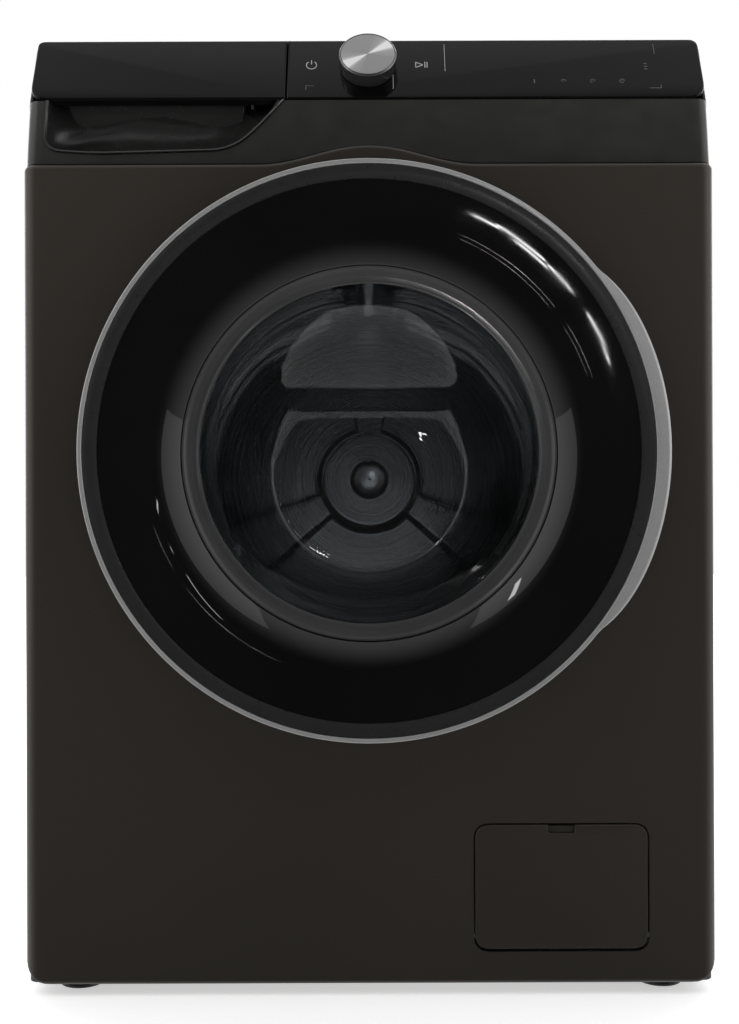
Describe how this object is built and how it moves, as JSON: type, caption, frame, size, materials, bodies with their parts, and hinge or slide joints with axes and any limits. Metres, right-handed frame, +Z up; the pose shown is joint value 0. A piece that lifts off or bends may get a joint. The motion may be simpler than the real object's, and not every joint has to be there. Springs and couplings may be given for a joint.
{
  "type": "front load washing machine",
  "caption": "Free-standing front-loading washing machine with a round glazed door, sprung tub and drum, detergent drawer, program knob and drain filter.",
  "frame": {"origin": "centre of the machine's footprint, on the floor", "axes": "+Z up, the door faces -Y, +X is to the right as seen from the front"},
  "size_m": [0.6, 0.6, 0.85],
  "materials": {
    "front_metal": "satin dark steel-look paint with a faint horizontal grain",
    "side_metal": "semi-matt dark paint",
    "zinc_sheet": "galvanised sheet",
    "dark_plastic": "fine-grained dark plastic",
    "fascia_plastic": "satin dark grey paint on plastic",
    "gloss_black": "piano black",
    "grey_plastic": "moulded polypropylene",
    "white_plastic": "moulded white plastic",
    "grey_rubber": "matt grey rubber",
    "black_rubber": "matt black rubber",
    "satin_silver": "satin silver plating",
    "drum_steel": "polished stainless steel",
    "steel": "bright zinc-plated steel",
    "alloy": "die-cast",
    "door_glass": "smoked glass",
    "concrete": "cast concrete",
    "motor_iron": "laminations and end shields",
    "board_green": "circuit board",
    "blue_plastic": "moulded blue plastic"
  },
  "bodies": {
    "cabinet": {"base_pan": "zinc_sheet", "left_side_panel": "side_metal", "right_side_panel": "side_metal", "rear_panel": "zinc_sheet", "rear_cover": "zinc_sheet", "top_cover": "dark_plastic", "front_panel": "front_metal", "control_fascia": "fascia_plastic", "control_panel": "gloss_black", "control_board": "board_green", "dispenser_housing": "grey_plastic", "inlet_valve": "white_plastic", "inlet_hose": "black_rubber", "dispenser_hose": "black_rubber", "door_gasket": "grey_rubber", "door_lock": "white_plastic", "hinge_bracket": "alloy", "suspension_springs": "steel", "damper_cylinders": "steel", "drain_pump": "grey_plastic", "sump_hose": "black_rubber", "drain_pipe": "grey_plastic", "body_screws": "steel", "filter_well": "grey_plastic", "mains_gland": "dark_plastic"},
    "tub": {"tub_front": "grey_plastic", "tub_rear": "grey_plastic", "front_weights": "concrete", "drum_bearings": "steel", "motor_housing": "motor_iron", "drive_belt": "black_rubber", "heater": "steel", "damper_rods": "steel"},
    "drum": {"drum_shell": "drum_steel", "drum_front_ring": "drum_steel", "drum_back": "drum_steel", "drum_lifters": "drum_steel", "drum_spider": "alloy", "drum_shaft": "steel", "drum_pulley": "alloy", "hub_cap": "drum_steel"},
    "motor_rotor": {"motor_pulley": "steel"},
    "door": {"door_trim_ring": "satin_silver", "door_cover": "gloss_black", "door_glass": "door_glass", "door_inner_frame": "dark_plastic", "hinge_pin": "steel"},
    "latch": {"latch_hook": "steel"},
    "drawer": {"drawer_front": "gloss_black", "drawer_scoop": "fascia_plastic", "drawer_tray": "grey_plastic", "siphon_cap": "blue_plastic"},
    "knob": {"program_knob": "satin_silver"},
    "flap": {"filter_flap": "front_metal"},
    "filter": {"drain_filter": "white_plastic"},
    "impeller": {"pump_impeller": "white_plastic"},
    "foot_fl": {"foot_front_left": "black_rubber"},
    "foot_fr": {"foot_front_right": "black_rubber"},
    "foot_rl": {"foot_rear_left": "black_rubber"},
    "foot_rr": {"foot_rear_right": "black_rubber"}
  },
  "joints": [
    {"name": "tub_float", "type": "slide", "parent": "cabinet", "child": "tub", "axis": [0, 0, 1], "range_m": [-0.008, 0.008], "stiffness_N_per_m": 20000, "deforming": ["suspension_springs", "door_gasket", "dispenser_hose", "sump_hose"]},
    {"name": "drum_spin", "type": "hinge", "parent": "tub", "child": "drum", "pos_m": [0, 0, 0.468], "axis": [0, 1, 0], "continuous": true},
    {"name": "motor_spin", "type": "hinge", "parent": "tub", "child": "motor_rotor", "pos_m": [0, 0.2, 0.115], "axis": [0, 1, 0], "continuous": true},
    {"name": "door_swing", "type": "hinge", "parent": "cabinet", "child": "door", "pos_m": [-0.228, -0.285, 0.468], "axis": [0, 0, -1], "range_deg": [0, 150]},
    {"name": "latch_pivot", "type": "hinge", "parent": "door", "child": "latch", "pos_m": [0.208, -0.268, 0.468], "axis": [0, 0, 1], "range_deg": [0, 12], "stiffness_Nm_per_rad": 0.02},
    {"name": "drawer_slide", "type": "slide", "parent": "cabinet", "child": "drawer", "axis": [0, -1, 0], "range_m": [0, 0.2]},
    {"name": "knob_turn", "type": "hinge", "parent": "cabinet", "child": "knob", "pos_m": [0, -0.2236, 0.81717], "axis": [0, -0.9063, 0.4226], "continuous": true},
    {"name": "flap_swing", "type": "hinge", "parent": "cabinet", "child": "flap", "pos_m": [0.165, -0.254, 0.051], "axis": [1, 0, 0], "range_deg": [0, 90]},
    {"name": "filter_turn", "type": "hinge", "parent": "cabinet", "child": "filter", "pos_m": [0.165, -0.2, 0.09], "axis": [0, 1, 0], "range_deg": [0, 100]},
    {"name": "impeller_spin", "type": "hinge", "parent": "cabinet", "child": "impeller", "pos_m": [0.165, -0.11, 0.09], "axis": [0, 1, 0], "continuous": true},
    {"name": "foot_fl_level", "type": "slide", "parent": "cabinet", "child": "foot_fl", "axis": [0, 0, -1], "range_m": [0, 0.012]},
    {"name": "foot_fr_level", "type": "slide", "parent": "cabinet", "child": "foot_fr", "axis": [0, 0, -1], "range_m": [0, 0.012]},
    {"name": "foot_rl_level", "type": "slide", "parent": "cabinet", "child": "foot_rl", "axis": [0, 0, -1], "range_m": [0, 0.012]},
    {"name": "foot_rr_level", "type": "slide", "parent": "cabinet", "child": "foot_rr", "axis": [0, 0, -1], "range_m": [0, 0.012]}
  ],
  "couplings": [
    {"joint": "motor_spin", "follows": "drum_spin", "ratio": 10}
  ]
}
